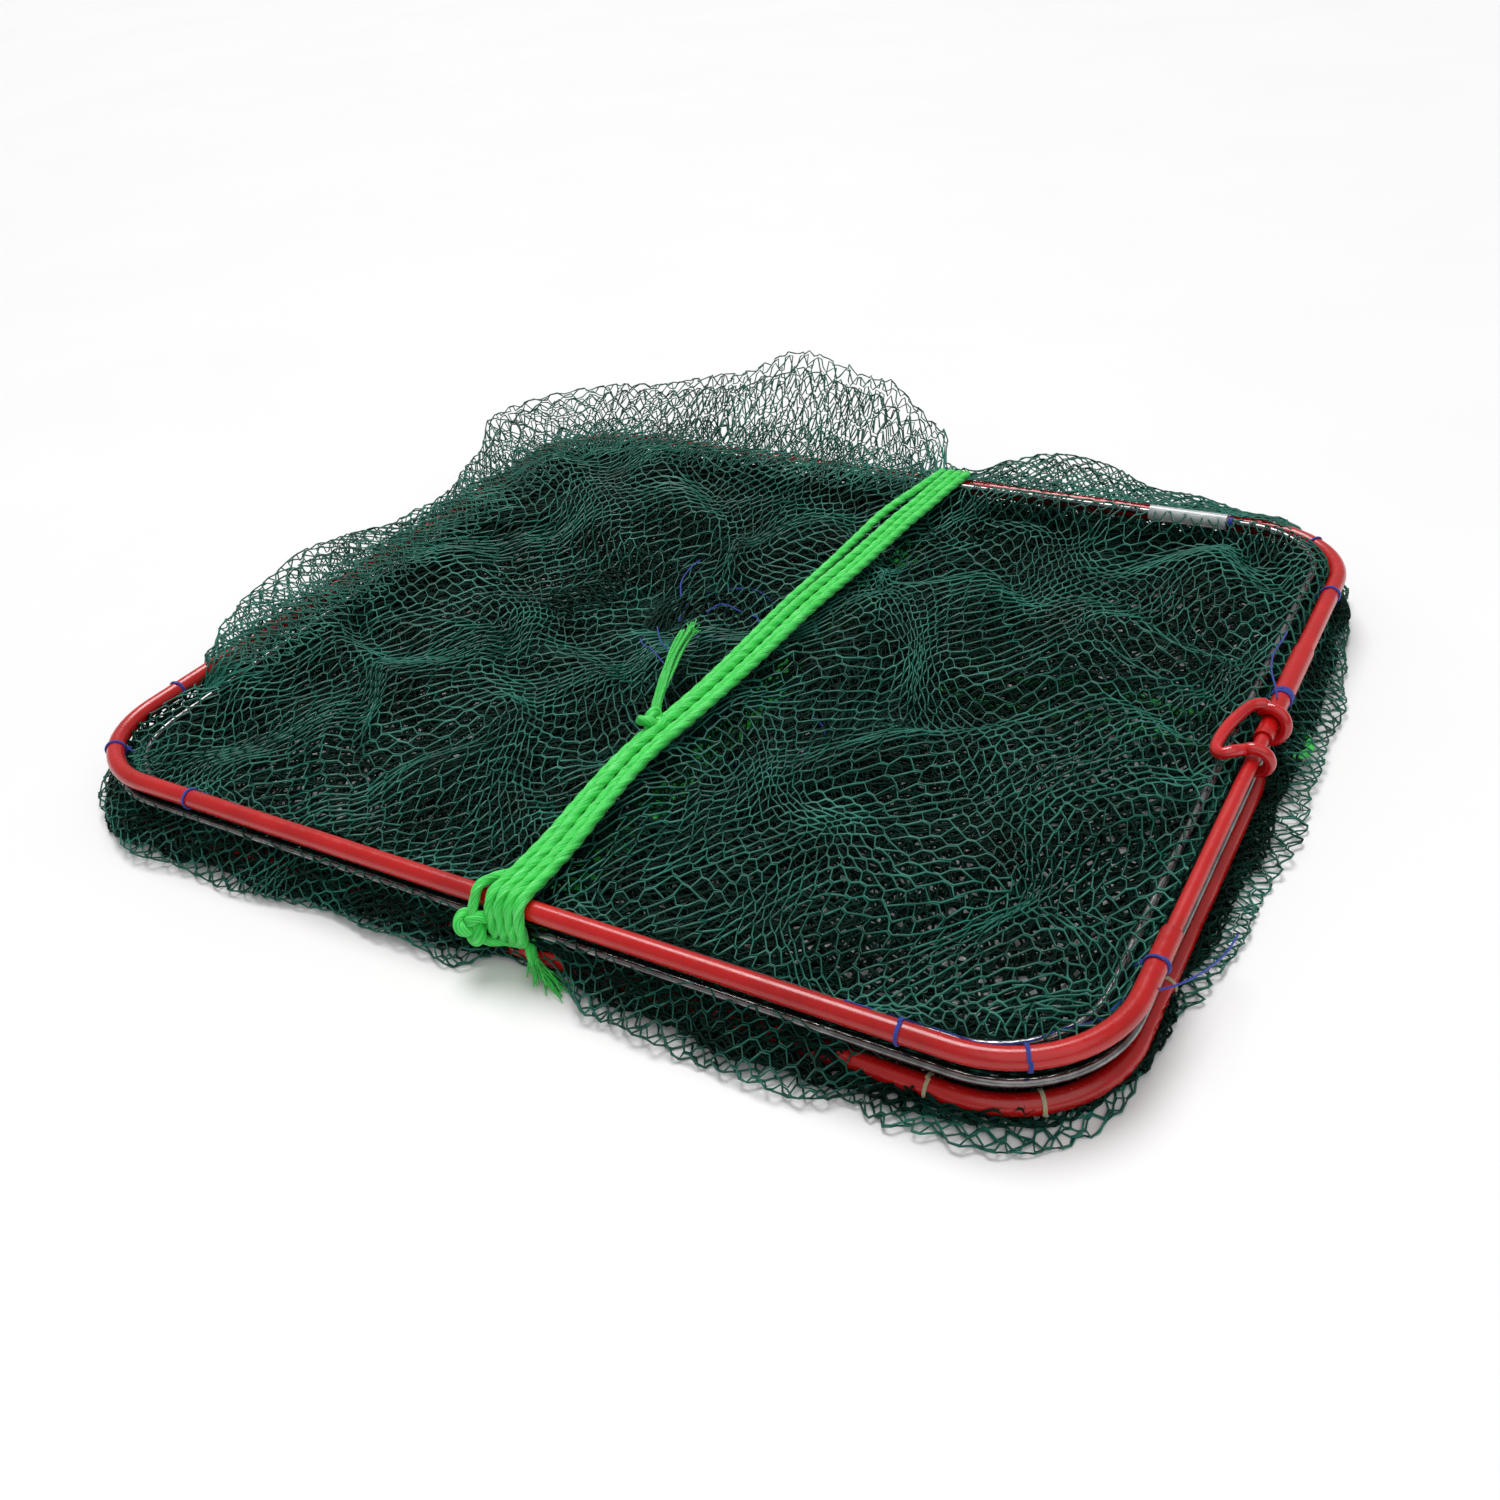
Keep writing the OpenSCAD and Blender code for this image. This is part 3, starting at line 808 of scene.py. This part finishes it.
def folds(x, y):
    """Long creases that run out from the middle of the right rail and from the rope."""
    angle = np.arctan2(y - 20, x - 330)
    rays = np.sin(13 * angle + 1.6 * waves(x, y, 150, 43))
    slant = np.sin((0.55 * x + y) / 9.5 + 1.8 * waves(x, y, 140, 44))
    right = smoothstep(x, 20, 120)
    return 3.6 * rays * right + 2.6 * slant * (1 - right)


# Heights of the crumpled netting, of netting on the rail and of the rope's underside, and half
# the width of the rope bundle
FOLD_Z, RAIL_TOP, ROPE_UNDER, BUNDLE_HALF = 30.5, 38.8, 35.6, 11.0


def top_floor(x, y):
    """What the top panel lies on: crumpled netting inside, the upper hoop and the rail."""
    bumps = FOLD_Z + hills(x, y) + folds(x, y) + 1.5 * waves(x, y, 46, 42)
    gap = ring_gap(x, y)
    hoop = nest_height(x, y) + 3.4 - 0.05 * (gap - 14) ** 2
    rail = RAIL_TOP - 0.05 * np.maximum(gap - 2, 0) ** 2
    return np.maximum(np.maximum(bumps, hoop), np.where(side_weight(x, y) > 0.5, rail, 20))


def under_rope(x, y):
    """Height that the taut rope leaves for the netting below it."""
    away = np.abs(x - bundle_centre(y) + 0.5) - BUNDLE_HALF
    return ROPE_UNDER + 0.8 * np.maximum(away, 0)


def lining_floor(x, y):
    return np.minimum(top_floor(x, y) - 9 + 3.0 * waves(x, y, 80, 51), 33)


def crowd(grid, seed):
    """Netting crowded together in some places and spread open in others."""
    x, y, z = np.moveaxis(grid, -1, 0)
    free = smoothstep(ring_gap(x, y), 6, 45)
    x = x + 7.5 * free * waves(x, y, 95, seed)
    y = y + 8.5 * free * waves(x, y, 85, seed + 1)
    return np.stack([x, y, np.minimum(z, under_rope(x, y))], -1)


top_grid = laid_panel(5, top_floor, 1.07)
lining = laid_panel(9, lining_floor, 1.05)
top_net = net_piece("top_net_mesh", [net(crowd(top_grid, 141), seed=101, strand=0.62, tall=1.5,
                                         wide=1.3, jitter=0.4)],
                    "upper_frame", "top_net")
# The lining is painted in the darker netting colour, as painted shade under the top net
lining_net = net_piece("top_net_lining", [net(lining, seed=103, cell=8.2, strand=0.7, tall=1.5)],
                       "upper_frame", shade="net_painted_shade")

x, y = panel_plan(91, 77)
bottom_grid = np.stack([x + 5 * waves(x, y, 150, 61), y + 5 * waves(x, y, 140, 62),
                        1.5 + 0.7 * waves(x, y, 70, 63)], -1)
bottom_fold = bottom_grid[::-1, ::-1] + (0, 0, 2.6)
# The bottom net is painted in the darker netting colour, as painted shade under the layers above
bottom_net = net_piece("bottom_net_mesh", [net(bottom_grid, seed=102, strand=0.95, tall=1.5),
                                           net(bottom_fold, seed=104, strand=0.95, tall=1.4)],
                       "lower_frame", "bottom_net", "net_painted_shade")


def wall(profiles, seed, ripple, nu=520, nv=26):
    """Folded wall net: profiles are keyed (arc length, (out, z) pairs...) round the frame."""
    s = np.linspace(0, RING_TOTAL, nu, endpoint=False)
    cols = keyed(s, profiles)
    points = np.stack([np.stack(cols[i:i + 2], -1) for i in range(0, len(cols), 2)], 1)
    ext = np.concatenate([2 * points[:, :1] - points[:, 1:2], points,
                          2 * points[:, -1:] - points[:, -2:-1]], 1)
    fine = [catmull_rom(*(ext[:, i + k] for k in range(4)), t)
            for i in range(points.shape[1] - 1) for t in np.linspace(0, 1, 12, endpoint=False)]
    fine = np.stack(fine + [points[:, -1]], 1)
    arc = np.concatenate([np.zeros((nu, 1)), np.cumsum(step_lengths(fine, 1), 1)], 1)
    want = np.linspace(0, 1, nv)
    prof = np.zeros((nu, nv, 2))
    for i in range(nu):
        for k in range(2):
            prof[i, :, k] = np.interp(want * arc[i, -1], arc[i], fine[i, :, k])
    middle = np.sin(want * math.pi)[None, :]
    sx, sy = ring_point(s, *FRAME).T
    wx, wy = sx[:, None] + 0 * want, sy[:, None] + 60 * want[None, :]
    out = prof[..., 0] + ripple * middle * waves(wx, wy, 62, seed)
    z = prof[..., 1] + 0.6 * ripple * middle * waves(wx, wy, 55, seed + 1)
    slide = 7 * middle * waves(wx, wy, 90, seed + 2)
    xy = ring_point(s[:, None] + slide, *FRAME, out)
    grid = np.concatenate([xy, np.maximum(z, 0.6)[..., None]], -1)
    return grid, arc[:, -1].mean()


def ring_rows(rails):
    """Rows of place and values along each rail, as arc length and values."""
    return [(float(at(rail, c)), *row) for rail, rows in rails.items() for c, *row in rows]


# How far the lower fold lies outside the frame, by rail: place, outer layer, inner layers, and 1
# where the rail lies on top of the fold instead of inside it
LOWER_OUT = ring_rows({
    "front": [(-240, 22, 18, 0), (-200, 25, 17, 0), (-119, 21, 15, 0), (-48, 20, 14, 0),
        (-14, 22, 14, 0), (2, 9, 7, 0), (45, 9, 7, 0), (66, 22, 15, 0), (128, 28, 20, 0),
        (178, 27, 18, 0), (205, 20, 11, 0.6), (224, 28, 9, 1), (240, 27, 8, 1)],
    "right": [(-192, 8, 7, 1), (-165, 9, 7, 1), (-150, 14, 8, 1), (-113, 22, 12, 1),
        (-40, 27, 16, 1), (4, 29, 17, 0.9), (26, 29, 17, 0), (96, 26, 16, 0), (140, 20, 13, 0),
        (166, 12, 8, 0), (192, 12, 8, 0)],
    "back": [(240, 20, 13, 0), (120, 20, 12, 0), (0, 18, 12, 0), (-120, 20, 12, 0),
        (-240, 22, 14, 0)],
    "left": [(192, 24, 15, 0), (100, 26, 16, 0), (0, 30, 18, 0), (-98, 26, 17, 0),
        (-192, 22, 16, 0)],
})


def lower_profiles(layer):
    """Out round the lower rail in folds on the ground; the outer one goes over the lower hoop."""
    keys = []
    lift = (0, 1.8, 3.6, 2.6)[layer]
    top = (3.0, 16.5, 3.0, 20.0, -1.5, 22.4) if layer == 0 else (4.6, 13.5, 2.0, 15.6, -3.0, 16.6)
    for s, wide, narrow, under in LOWER_OUT:
        d = wide if layer == 0 else narrow * (1.0, 1.0, 0.62, 0.8)[layer]
        outside = np.array((-4, 0.7 + 0.3 * lift, 0.7 * d, 1.2 + lift, d, 4.5 + lift,
                            0.75 * d, 10.0 + lift) + top)
        below = np.array((-4, 0.7, 0.7 * d, 0.9 + 0.4 * lift, d, 2.6 + lift, 0.5 * d, 2.4 + lift,
                          -6.5, 1.2, -8.5, 10.0, -3.5, 16.8))
        keys.append((s, *(outside * (1 - under) + below * under)))
    return keys


def middle_profiles(reach):
    """Folded in between the two hoops."""
    keys = []
    for s, *_ in LOWER_OUT:
        x, y = ring_point(np.array([s]), *FRAME, -14)[0]
        keys.append((s, -1, 17.0, -9 * reach, 12.5, -18 * reach, 13.0, -22 * reach, 18.0, -19, 23.0,
                     -14.5, nest_height(x, y) - 2))
    return keys


# Crests of the billows by rail: place, out, height, 1 where they start on top of the rail, and 1
# where they lap over it from inside
CRESTS = ring_rows({
    "front": [(-240, 8, 24, 0, 0), (0, 4, 22, 0, 0), (240, 6, 22, 0, 0)],
    "right": [(-192, 6, 24, 0, 0), (0, 7, 24, 0, 0), (150, 9, 25, 0, 0), (192, 10, 26, 0.2, 0)],
    "back": [(240, 14, 34, 1, 0), (184, 20, 40, 1, 0), (90, 34, 52, 1, 0), (60, 26, 47, 1, 0),
        (45, 12, 41, 1, 0), (15, 12, 41, 1, 1), (0, 34, 58, 1, 1), (-50, 58, 82, 1, 1),
        (-113, 70, 97, 1, 1), (-170, 50, 80, 1, 1), (-240, 36, 70, 1, 1)],
    "left": [(192, 34, 66, 1, 1), (150, 24, 52, 1, 1), (105, 12, 42, 1, 1), (60, 14, 42, 1, 1),
        (20, 32, 46, 1, 1), (-30, 42, 46, 1, 1), (-70, 38, 44, 1, 1), (-110, 24, 40, 1, 1),
        (-138, 12, 37, 1, 1), (-165, 8, 27, 0, 0), (-192, 8, 26, 0, 0)],
})


def upper_profiles(share=1.0, back=-34):
    """Inside the tube at the front and right, over it in loose billows at the left and back."""
    keys = []
    low = np.array([-7, 27.5, -9, 25.0, -11, 23.0, -11, 21.0, -9, 18.5, -6, 17.0])
    for s, out, z, over, lap in CRESTS:
        out, z = out * share, 38 + (z - 38) * share if over > 0.5 else z
        reach = back * lap - 2 * (1 - lap)
        high = np.array([reach, RAIL_TOP, -8 * lap, 39.4 + 2.6 * lap, 3, 39.2 + 2.3 * lap, out, z,
                         0.8 * out + 1, 0.35 * z + 8, 4, 17.0])
        keys.append((s, *(low * (1 - over) + high * over)))
    return keys


def hem_profiles(inset):
    """The netting gathered straight down inside the top frame, all the way round."""
    return [(s, -3.5, 29.0 + inset, -5.5 - inset, 26.5, -7 - inset, 24.0, -7 - inset, 21.5,
             -6 - inset, 19.5, -4, 18.0) for s, *_ in CRESTS]


# Name, CAD node, layers, seed, ripple, body below, body above, and where the blend starts and ends
WALLS = [
    ("net_wall_lower_mesh", "net_wall_lower", [lower_profiles(k) for k in range(4)],
     201, 4.5, "lower_frame", "hoop_low", 0.0012, 0.0166),
    ("net_wall_middle_mesh", "net_wall_middle", [middle_profiles(k) for k in (1.0, 1.35, 0.6)],
     211, 2.5, "hoop_low", "hoop_high", 0.0172, 0.0236),
    ("net_wall_upper_mesh", "net_wall_upper",
     [upper_profiles(), upper_profiles(0.82, -50), upper_profiles(0.3, -26)],
     221, 2.6, "hoop_high", "upper_frame", 0.017, 0.026),
]
for name, node, layers, seed, ripple, below, above, z_start, z_end in WALLS:
    grids = [wall(profiles, seed + 3 * k, ripple) for k, profiles in enumerate(layers)]
    billows = above == "upper_frame"
    outer = net_piece(name, [net(grids[0][0], closed_u=True, seed=seed, strand=0.58, wide=1.3,
                                 tall=0.75 if billows else 1.1)], replaced=node)
    # Inner layers of the lower and middle walls are painted in the darker netting colour, as
    # painted shade
    inner = net_piece(name.replace("mesh", "inner"),
                      [net(g, closed_u=True, seed=seed + k + 1, strand=0.6 if billows else 0.8,
                           cell=8.0 if billows else 6.6, wide=1.4, tall=1.1)
                       for k, (g, _) in enumerate(grids[1:])],
                      shade="green_net" if billows else "net_painted_shade")
    heights = [height for _, height in grids]
    for obj, high, solid in ((outer, heights[0], 0.45),
                             (inner, sum(heights[1:]), 0.45 if billows else 0.74)):
        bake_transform(obj)


hem = [wall(hem_profiles(inset), 231 + inset, 1.2) for inset in (0, 2)]
# The hem is painted in the darker netting colour, as painted shade inside the frame
hem_net = net_piece("net_wall_upper_hem", [net(g, closed_u=True, seed=241 + k, strand=0.8, cell=6.6,
                                               wide=1.4, tall=1.1)
                                           for k, (g, _) in enumerate(hem)], shade="net_painted_shade")
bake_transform(hem_net)


# Funnels: flattened net tubes that lead from each side to a corded mouth
FUNNEL_RIM, FUNNEL_SHIFT, MOUTH_R = (203.0, 246.0, 54.0), 87.0, 33.0


def funnel_grid(sign, mouth, mouth_z, seed, level, nu=260, nv=40):
    s = np.linspace(0, 1, nu, endpoint=False)
    sx, arc, sy = ring_lengths(*FUNNEL_RIM)
    outer = ring_point(s * (2 * (sx + sy) + 4 * arc), *FUNNEL_RIM) - (FUNNEL_SHIFT, 0)
    angle = np.arctan2(outer[:, 1] - mouth[1], outer[:, 0] - mouth[0])
    ring = np.stack([mouth[0] + MOUTH_R * np.cos(angle), mouth[1] + MOUTH_R * np.sin(angle)], -1)
    t = np.linspace(0, 1, nv)[None, :, None]
    xy = outer[:, None] * (1 - t) + ring[:, None] * t
    wobble = np.sin(t * math.pi)
    x, y = xy[..., 0], xy[..., 1]
    xy = xy + wobble * 8 * np.stack([waves(x, y, 120, seed), waves(x, y, 110, seed + 1)], -1)
    edge = nest_height(outer[:, 0] * sign, outer[:, 1])[:, None] - 4
    edge = edge - 18 * smoothstep(outer[:, 0], 20, 90)[:, None]
    t = t[..., 0]
    z = level + 5.0 * waves(x, y, 75, seed + 2)
    rim, lip = np.minimum(1, 6 * t), smoothstep(t, 0.8, 1.0)
    z = z * rim * (1 - lip) + edge * (1 - rim) + (mouth_z - 0.8) * lip
    grid = np.concatenate([xy, np.clip(z, 4.0, 29.0)[..., None]], -1)
    grid[..., 0] *= sign
    return grid if sign > 0 else grid[::-1]


for side, sign, mouth_z in (("left", 1, 20.0), ("right", -1, 9.0)):
    cx, cy, _ = box_middle("funnel_%s_mouth" % side)
    grids = [funnel_grid(sign, (cx * sign, cy), mouth_z, 300 + 40 * sign + 7 * k, 20.0 - 7 * k)
             for k in range(2)]
    layers = [net(g, closed_u=True, seed=310 + k, cell=8.6, strand=0.85, tall=1.3)
              for k, g in enumerate(grids)]
    # The funnels are painted in the darker netting colour, as painted shade deep inside the trap
    obj = net_piece("funnel_%s_mesh" % side, layers, "hoop_high", "funnel_%s" % side, "net_painted_shade")
    t = np.linspace(0, 2 * math.pi, 90, endpoint=False)
    wob = 1.5 * np.sin(3 * t + sign) + 1.1 * np.sin(5 * t)
    ring = np.stack([cx + (MOUTH_R + wob) * np.cos(t), cy + (MOUTH_R + wob) * np.sin(t),
                     mouth_z + 0.9 * np.sin(4 * t + 1)], -1)
    cord = tube(ring, 0.75, 8, closed=True, lobes=2, lobe_depth=0.3, pitch=5.0)
    add_piece("funnel_%s_mouth_cord" % side, [cord], "blue_twine", "hoop_high",
              "funnel_%s_mouth" % side)


# ---- twine
def twine(path, radius=TWINE_R):
    path, rad = round_ends(spline(path, 0.7), radius)
    return tube(path, rad, 8, lobes=2, lobe_depth=0.35, pitch=3.2)


def lashing(centre, along, turns, spread, radius, seed, tail):
    """Twine wound round a rail: centre, direction of the rail, number of turns, width."""
    r = np.random.default_rng(seed)
    along = unit(np.array(along, float))
    up = np.array([0.0, 0.0, 1.0])
    side = np.cross(along, up)
    t = np.linspace(0, 1, int(turns * 20) + 1)
    a = t * turns * 2 * math.pi + r.uniform(0, 6)
    reach = radius + TWINE_R * 0.9 + 0.15 * np.sin(a * 0.7)
    path = (np.array(centre, float) + along * ((t - 0.5) * spread)[:, None]
            + reach[:, None] * (np.cos(a)[:, None] * side + np.sin(a)[:, None] * up))
    parts = [twine(path)]
    base = np.array(centre, float) - side * (radius + 0.8) - up * 1.5
    knot = [base + 1.2 * np.array([math.cos(k * 1.7), math.sin(k * 2.3), math.cos(k * 2.9)])
            for k in range(8)]
    parts.append(twine(knot))
    for k in (-1, 1):
        end = base - side * tail * r.uniform(0.4, 0.9) + along * k * tail * r.uniform(0.3, 0.9)
        parts.append(twine([base, (base + end) / 2 + up * 0.6, end - up * 1.0]))
    return parts


def rail_way(x, y):
    """Direction of the rail at a place on the frame."""
    if abs(abs(x) - HALF_W) < 0.1:
        return (0, 1, 0)
    if abs(abs(y) - HALF_D) < 0.1:
        return (1, 0, 0)
    cx, cy = math.copysign(HALF_W - CORNER, x), math.copysign(HALF_D - CORNER, y)
    return (-(y - cy), x - cx, 0)


def corner_place(sx, sy, degrees):
    a = math.radians(degrees)
    return (sx * (HALF_W - CORNER) + CORNER * math.cos(a), sy * (HALF_D - CORNER)
            + CORNER * math.sin(a))


def lashings(places, z, spread, seed):
    """Two turns of twine at each place on a frame."""
    return [part for i, (x, y) in enumerate(places)
            for part in lashing((x, y, z), rail_way(x, y), 2.0, spread, TUBE_R, seed + i, 3.5)]


UPPER_PLACES = [(-HALF_W, -172), (-201, -HALF_D), (218, -HALF_D), (HALF_W, -172),
                (HALF_W, 176), corner_place(-1, -1, 225), corner_place(1, -1, -60),
                corner_place(1, 1, 50)]
joint_lashing = lashing((HALF_W, 54.6, UPPER_Z), (0, 1, 0), 5.0, 5.0, TUBE_R, 420, 4.0)
add_piece("upper_lashing_twine", lashings(UPPER_PLACES, UPPER_Z, 1.4, 400) + joint_lashing,
          "blue_twine", "upper_frame", "upper_lashings")

SIGNS = [(-1, -1), (-1, 1), (1, -1), (1, 1)]
LOWER_PLACES = [(sx * HALF_W, sy * 155) for sx, sy in SIGNS]
LOWER_PLACES += [(sx * 230, sy * HALF_D) for sx, sy in SIGNS]
LOWER_PLACES += [corner_place(sx, sy, sy * (54 if sx > 0 else 126)) for sx, sy in SIGNS]
add_piece("lower_lashing_twine", lashings(LOWER_PLACES, LOWER_Z, 1.5, 430), "cream_twine",
          "lower_frame", "lower_lashings")

TAILS = [[(300, -187, 27), (304, -186, 32), (311, -180, 33), (317, -168, 31), (320, -152, 25),
          (322, -138, 21), (323, -125, 20)],
         [(299, 44, 39), (297, 50, 41), (291, 66, 41.5), (288, 84, 41.5), (289, 100, 41),
          (289, 112, 40)]]
add_piece("lashing_tail_twine", [twine(p, 0.5) for p in TAILS], "blue_twine", "upper_frame",
          "lashing_tails")

# Lacing that picks up the top panel along the rails, and loose ends by the mouths
LACING = [[(189, -245, 33), (202, -243.5, 31.5), (215, -244, 32), (233, -242.5, 31),
           (251, -243, 32), (266, -234, 31), (276, -223, 32), (288, -210, 31), (294, -195, 33)],
          [(66, 245, 37), (80, 243, 37.5), (96, 244.5, 37), (112, 244, 37.5)],
          [(-64, 33, 37), (-73, 48, 38), (-78, 65, 37.5), (-79, 81, 37)],
          [(-38, 21, 37), (-33, 32, 38), (-17, 29, 37)],
          [(-9, 27, 37), (-4, 25, 38), (0, 21, 37)],
          [(-57, -6, 37), (-44, -22, 38), (-31, -31, 37.5), (-25, -38, 37)],
          [(-59, -22, 37), (-52, -29, 38), (-44, -32, 38), (-29, -42, 37)]]
add_piece("lacing_twine", [twine(p, 0.42) for p in LACING], "blue_twine", "upper_frame")

sleeve_parts = lashing(box_middle("sleeve_lashing"), (1, 0, 0), 3.0, 2.4, HOOP_R + 0.4, 460, 3.0)
add_piece("sleeve_lashing_twine", sleeve_parts, "blue_twine", "hoop_high", "sleeve_lashing")


# ---- bail
BAIL_EYE, BAIL_R = 8.35, 3.2
EYE_START, EYE_END = -118, 168


def eye_turn(y0, y1, count=14):
    """Points of one eye round the rail, between its two angles (0 is on top, 90 outside)."""
    res = []
    for k in range(count):
        t = k / (count - 1)
        a = math.radians(EYE_START + (EYE_END - EYE_START) * t)
        res.append((HALF_W + BAIL_EYE * math.sin(a), y0 + (y1 - y0) * t,
                    UPPER_Z + BAIL_EYE * math.cos(a)))
    return res


back_eye, front_eye = eye_turn(31.5, 24.5), eye_turn(-13.5, -6.0)
bail_points = (list(reversed(back_eye[3:])) + [(296.0, 30.0, 42.4), (290.6, 26.4, 42.8),
               (286.0, 16.0, 41.6), (282.8, 2.5, 40.2), (282.4, -12.5, 39.8), (286.0, -19.8, 40.8),
               (291.5, -18.0, 42.4)] + front_eye[4:])
path, rad = round_ends(spline(bail_points, 0.8), BAIL_R)
add_piece("bail_loop", [tube(path, rad, 24)], "bail_red", "bail", "bail")


# ---- floor and light
def make_stage():
    size = 14.0
    mesh = bpy.data.meshes.new("floor")
    mesh.from_pydata([(-size, -size, 0), (size, -size, 0), (size, size, 0), (-size, size, 0)], [],
                     [(0, 1, 2, 3)])
    floor = add_object("floor", mesh)
    m, tree, s = material("floor_white")
    ramp(tree, s, "Base Color", noise(tree, 3.0, 3), [(0.3, grey(0.90)), (0.7, grey(0.92))])
    settings(s, {"Roughness": 0.55})
    mesh.materials.append(m)


def sun(name, direction, strength, spread):
    data = bpy.data.lights.new(name, "SUN")
    data.energy, data.angle = strength, math.radians(spread)
    add_object(name, data).rotation_euler = Vector(direction).to_track_quat("-Z", "Y").to_euler()


make_stage()
sun("key", (0.35, -0.45, -1.0), 2.1, 32)
sun("fill", (-0.6, 0.5, -1.0), 0.7, 70)
world = bpy.data.worlds.new("studio")
world.use_nodes = True
settings(world.node_tree.nodes["Background"], {"Color": (1, 1, 1, 1), "Strength": 0.35})
bpy.context.scene.world = world
bpy.context.scene.view_settings.view_transform = "Standard"
